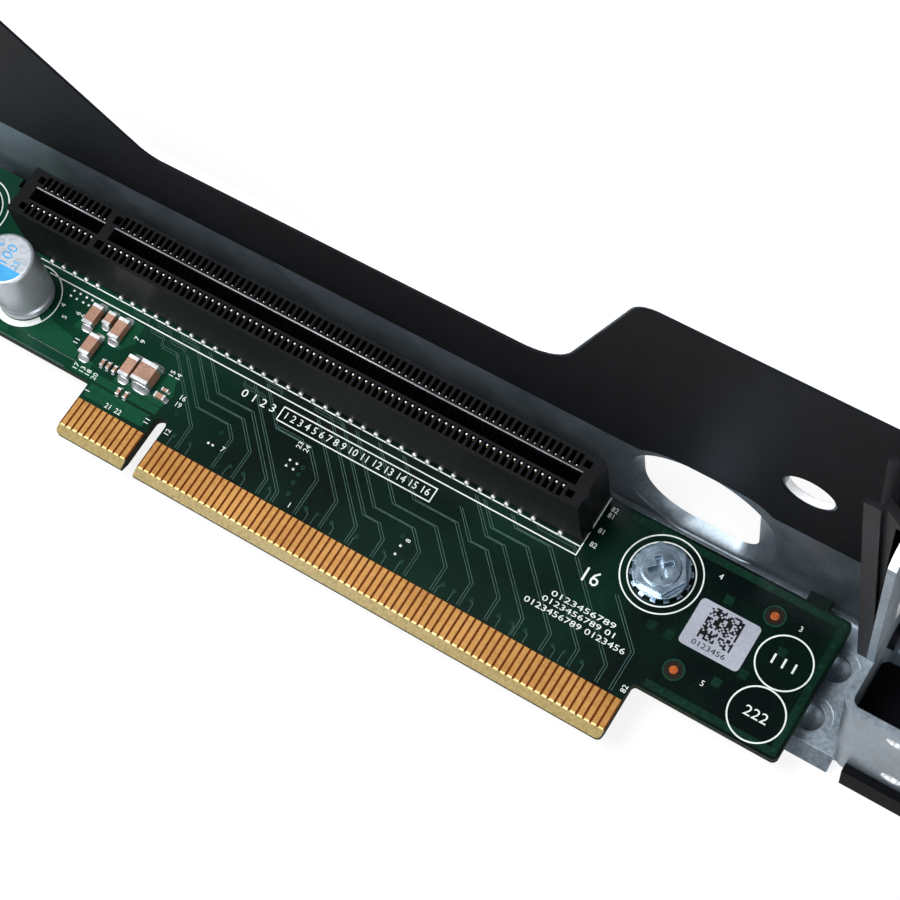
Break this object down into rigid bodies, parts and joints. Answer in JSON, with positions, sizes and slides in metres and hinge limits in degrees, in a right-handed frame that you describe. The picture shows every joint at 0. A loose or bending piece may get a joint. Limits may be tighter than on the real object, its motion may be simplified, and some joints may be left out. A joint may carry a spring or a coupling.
{
  "type": "pcie riser card",
  "caption": "Server riser card: a green edge-connector board with a long card slot, screwed to a folded steel carrier with a black insulating film and a card guide.",
  "frame": {"origin": "middle of the base of the object's box, as it lies on the back of its carrier wall", "axes": "+X along the slot towards the end with the card guide, +Y from the gold fingers to the upright plate, +Z out of the board's component face, the way a card leaves the slot"},
  "size_m": [0.165, 0.0318, 0.0593],
  "materials": {
    "galvanised_steel": "spangled zinc, satin",
    "insulating_film": "fine matt black film",
    "board_laminate": "green solder mask, glossy",
    "gold_plate": "hard gold plating",
    "black_plastic": "moulded, slightly glossy",
    "solder": "bright tin alloy",
    "zinc_plate": "bright zinc plating",
    "capacitor_aluminium": "satin",
    "rubber": "matt",
    "ceramic": "brown, slightly glossy",
    "label_paper": "matt white",
    "copper": "bare copper"
  },
  "bodies": {
    "root": {"carrier": "galvanised_steel", "insulating_film": "insulating_film", "standoffs": "zinc_plate", "circuit_board": "board_laminate", "front_fingers": "gold_plate", "rear_fingers": "gold_plate", "slot_housing": "black_plastic", "slot_contacts_front": "gold_plate", "slot_contacts_rear": "gold_plate", "slot_solder": "solder", "screws": "zinc_plate", "lock_washers": "zinc_plate", "capacitor_can": "capacitor_aluminium", "capacitor_seal": "rubber", "capacitor_leads": "solder", "label": "label_paper", "fiducials": "copper", "card_guide": "black_plastic", "guide_pins": "black_plastic", "end_cushion": "rubber", "edge_trim": "rubber", "chip_solder": "solder", "chip_bodies_1210": "ceramic", "chip_ends_1210": "solder", "chip_bodies_1206": "ceramic", "chip_ends_1206": "solder", "chip_bodies_0805": "ceramic", "chip_ends_0805": "solder", "chip_bodies_0603": "ceramic", "chip_ends_0603": "solder", "chip_bodies_0402": "ceramic", "chip_ends_0402": "solder"}
  },
  "joints": []
}
